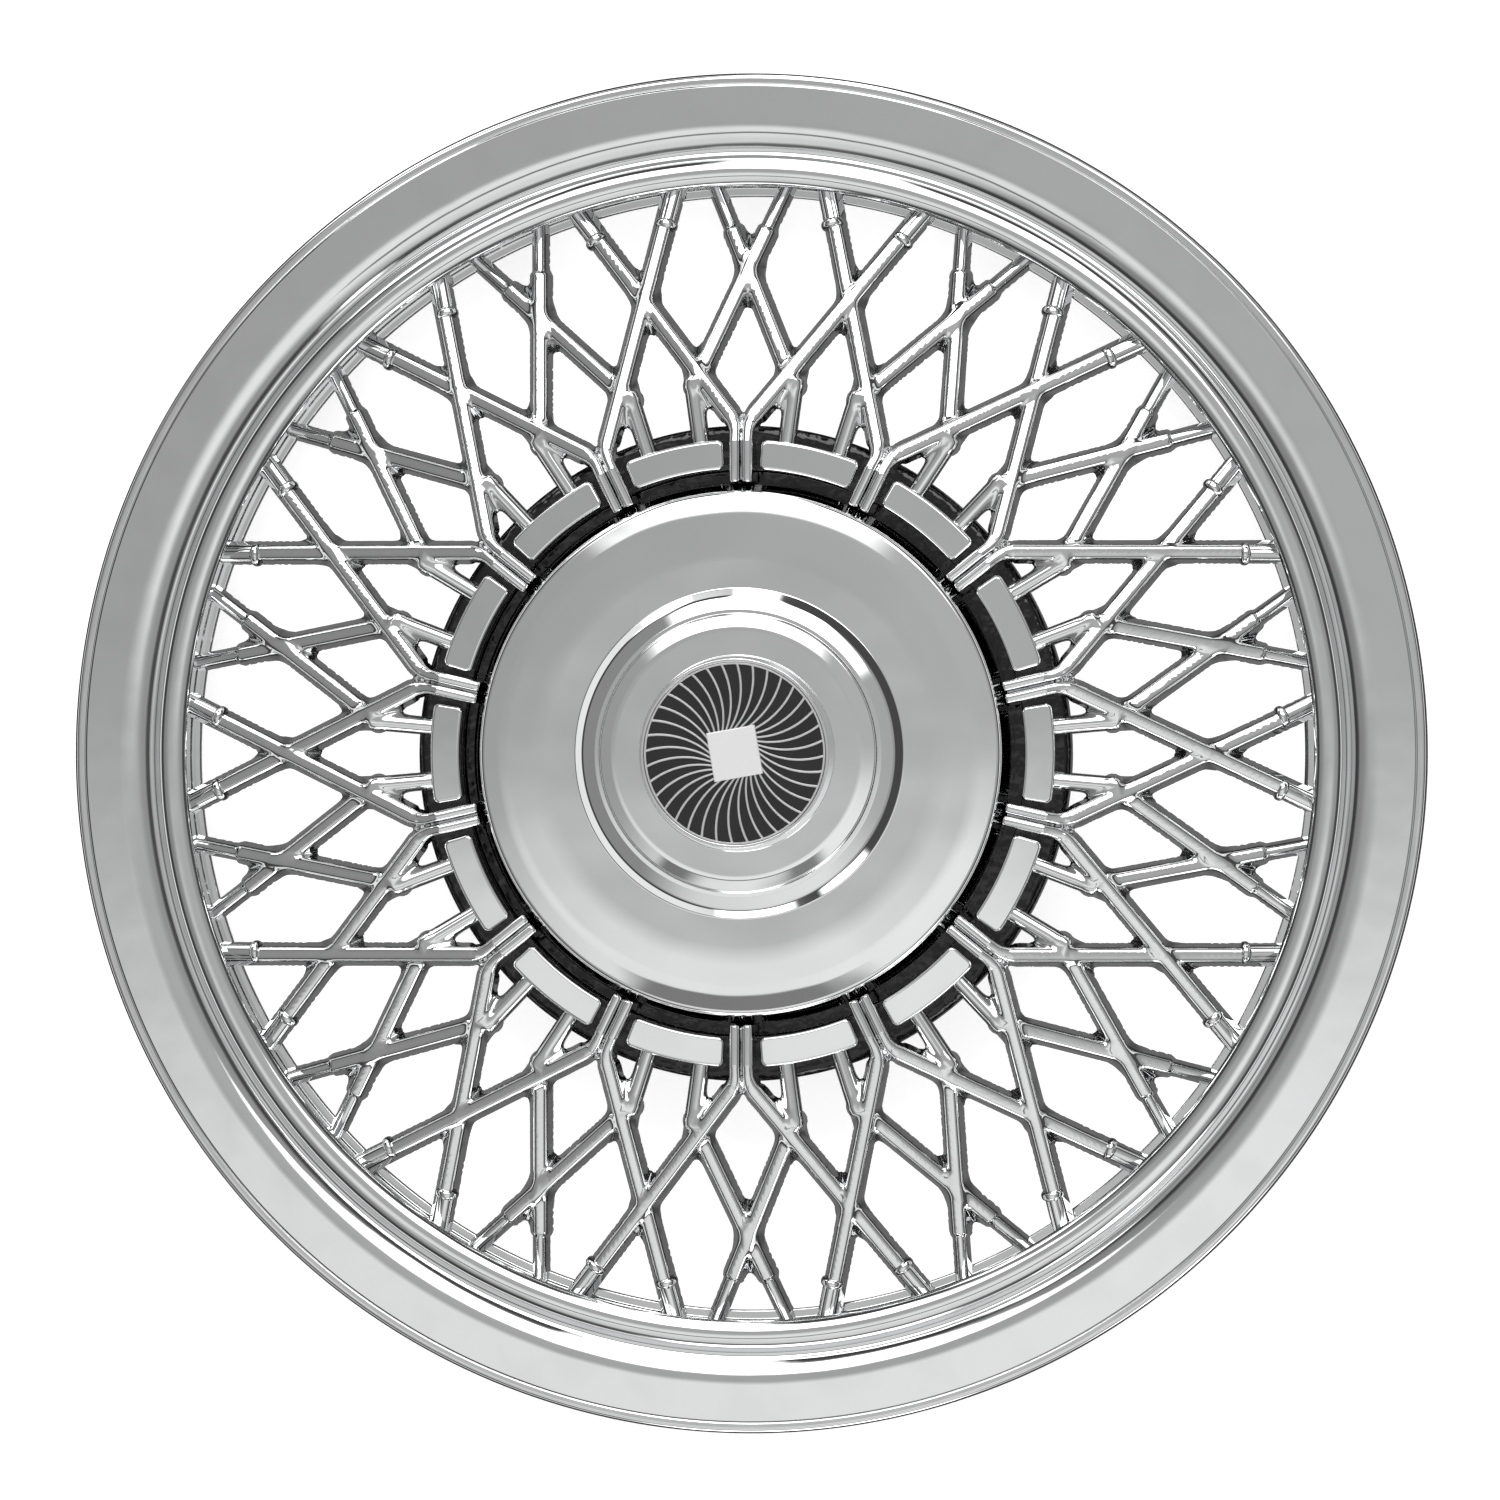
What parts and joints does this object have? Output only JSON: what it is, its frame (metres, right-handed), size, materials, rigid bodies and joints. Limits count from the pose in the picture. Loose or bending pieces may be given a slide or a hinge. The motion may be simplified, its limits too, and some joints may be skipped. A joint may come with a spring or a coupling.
{
  "type": "wire wheel cover",
  "caption": "Chrome-plated wire-look wheel cover: dished ring with a crossed-spoke lattice, a raised centre cap with a disc emblem, and snap legs held out by a spring wire.",
  "frame": {"origin": "on the wheel axis, in the plane of the retention legs' feet", "axes": "+Z points out of the wheel, towards the viewer of the picture; +Y is the picture's up and +X its right"},
  "size_m": [0.404, 0.404, 0.0688],
  "materials": {
    "plated_moulding": "bright chrome plate on moulded plastic",
    "plated_cap": "bright chrome plate on moulded plastic",
    "emblem": "dark enamel fields between bright raised lines",
    "spring_wire": "zinc-plated spring wire"
  },
  "bodies": {
    "root": {"cover_moulding": "plated_moulding", "centre_cap": "plated_cap", "emblem_disc": "emblem", "retention_wire": "spring_wire"}
  },
  "joints": []
}
